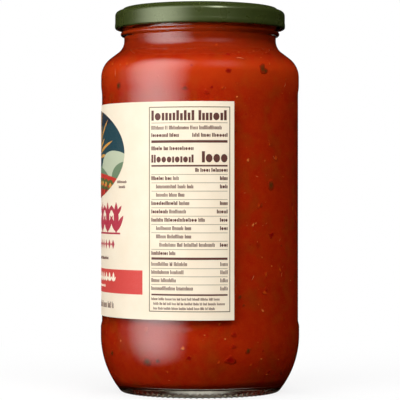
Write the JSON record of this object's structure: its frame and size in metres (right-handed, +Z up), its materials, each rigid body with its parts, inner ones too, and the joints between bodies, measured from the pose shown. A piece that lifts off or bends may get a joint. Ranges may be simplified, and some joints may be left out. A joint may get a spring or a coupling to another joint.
{
  "type": "tomato sauce jar",
  "caption": "Shut round glass jar of tomato sauce with a wrap-around paper label and a green twist-off metal lid.",
  "frame": {"origin": "centre of the jar's base, on the surface that it stands on", "axes": "+Z up along the jar's axis; the middle of the label faces -Y; +X to the right seen from the front of the label"},
  "size_m": [0.093, 0.093, 0.1793],
  "materials": {
    "glass": "clear flint glass, fire polished, smooth",
    "sauce": "wet cooked tomato sauce, orange red, with herb flecks and seeds",
    "label_paper": "cream printed paper, satin",
    "lid_enamel": "dark olive green enamel on pressed steel, glossy"
  },
  "bodies": {
    "root": {"glass_jar": "glass", "sauce": "sauce", "label": "label_paper", "lid": "lid_enamel"}
  },
  "joints": []
}
